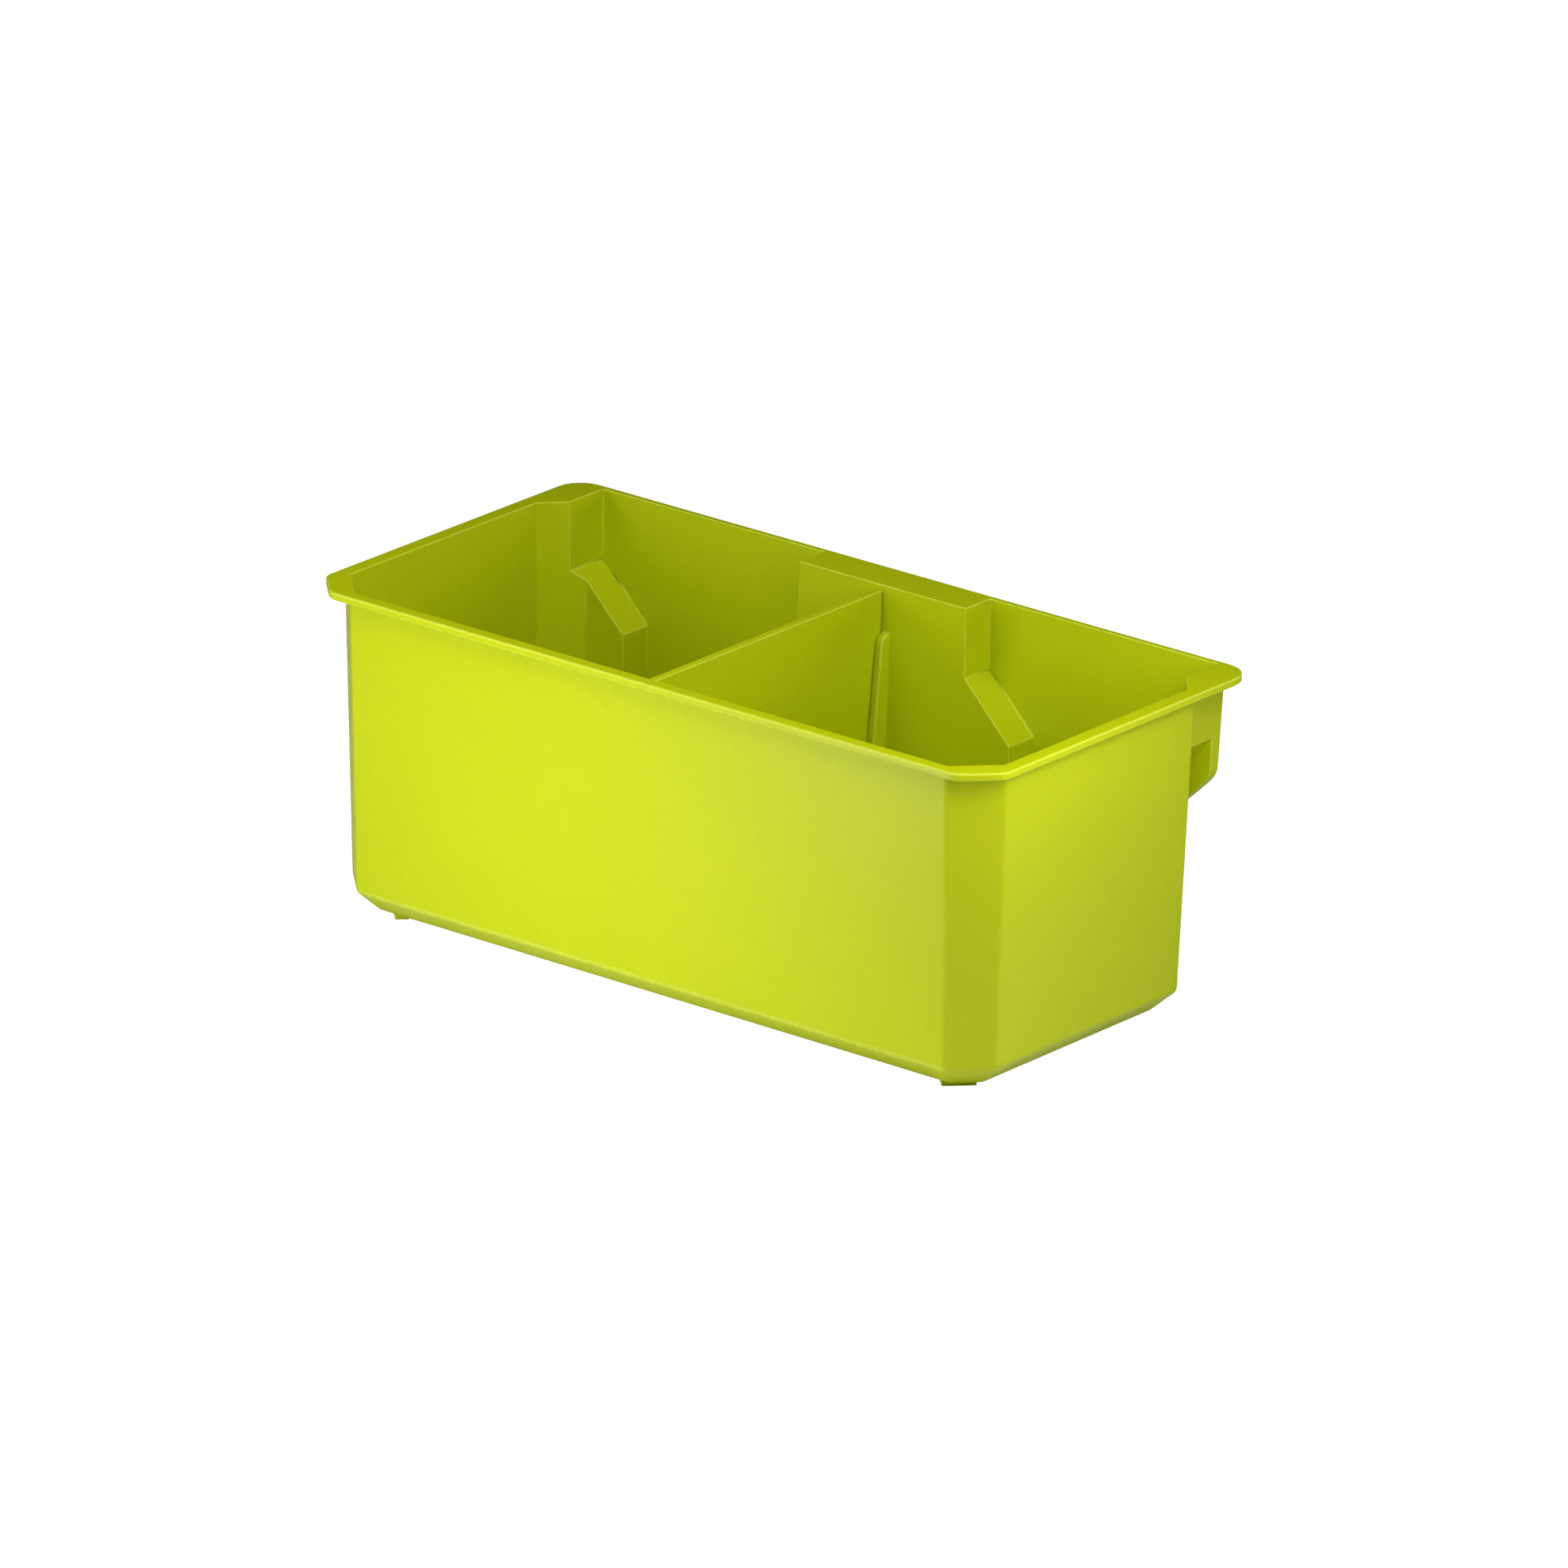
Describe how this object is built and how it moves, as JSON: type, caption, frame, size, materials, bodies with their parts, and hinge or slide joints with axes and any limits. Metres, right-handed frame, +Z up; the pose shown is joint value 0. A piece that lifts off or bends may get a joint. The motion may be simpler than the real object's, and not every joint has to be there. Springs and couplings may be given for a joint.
{
  "type": "cleaning caddy",
  "caption": "Oblong moulded plastic tub with a flat rim, two shouldered pockets along its back, a hand recess between them and a flat divider that lifts out.",
  "frame": {"origin": "on the floor under the middle of the rim's box, at the level of the feet", "axes": "+X along the long side, +Y towards the pockets and the hand recess at the back, +Z up"},
  "size_m": [0.38, 0.188, 0.1525],
  "materials": {
    "tub_plastic": "satin lime green moulded polypropylene",
    "divider_plastic": "satin lime green moulded polypropylene"
  },
  "bodies": {
    "tub": {"tub": "tub_plastic"},
    "divider": {"divider": "divider_plastic"}
  },
  "joints": [
    {"name": "divider_lift", "type": "slide", "parent": "tub", "child": "divider", "axis": [0, 0, 1], "range_m": [0, 0.165]}
  ]
}
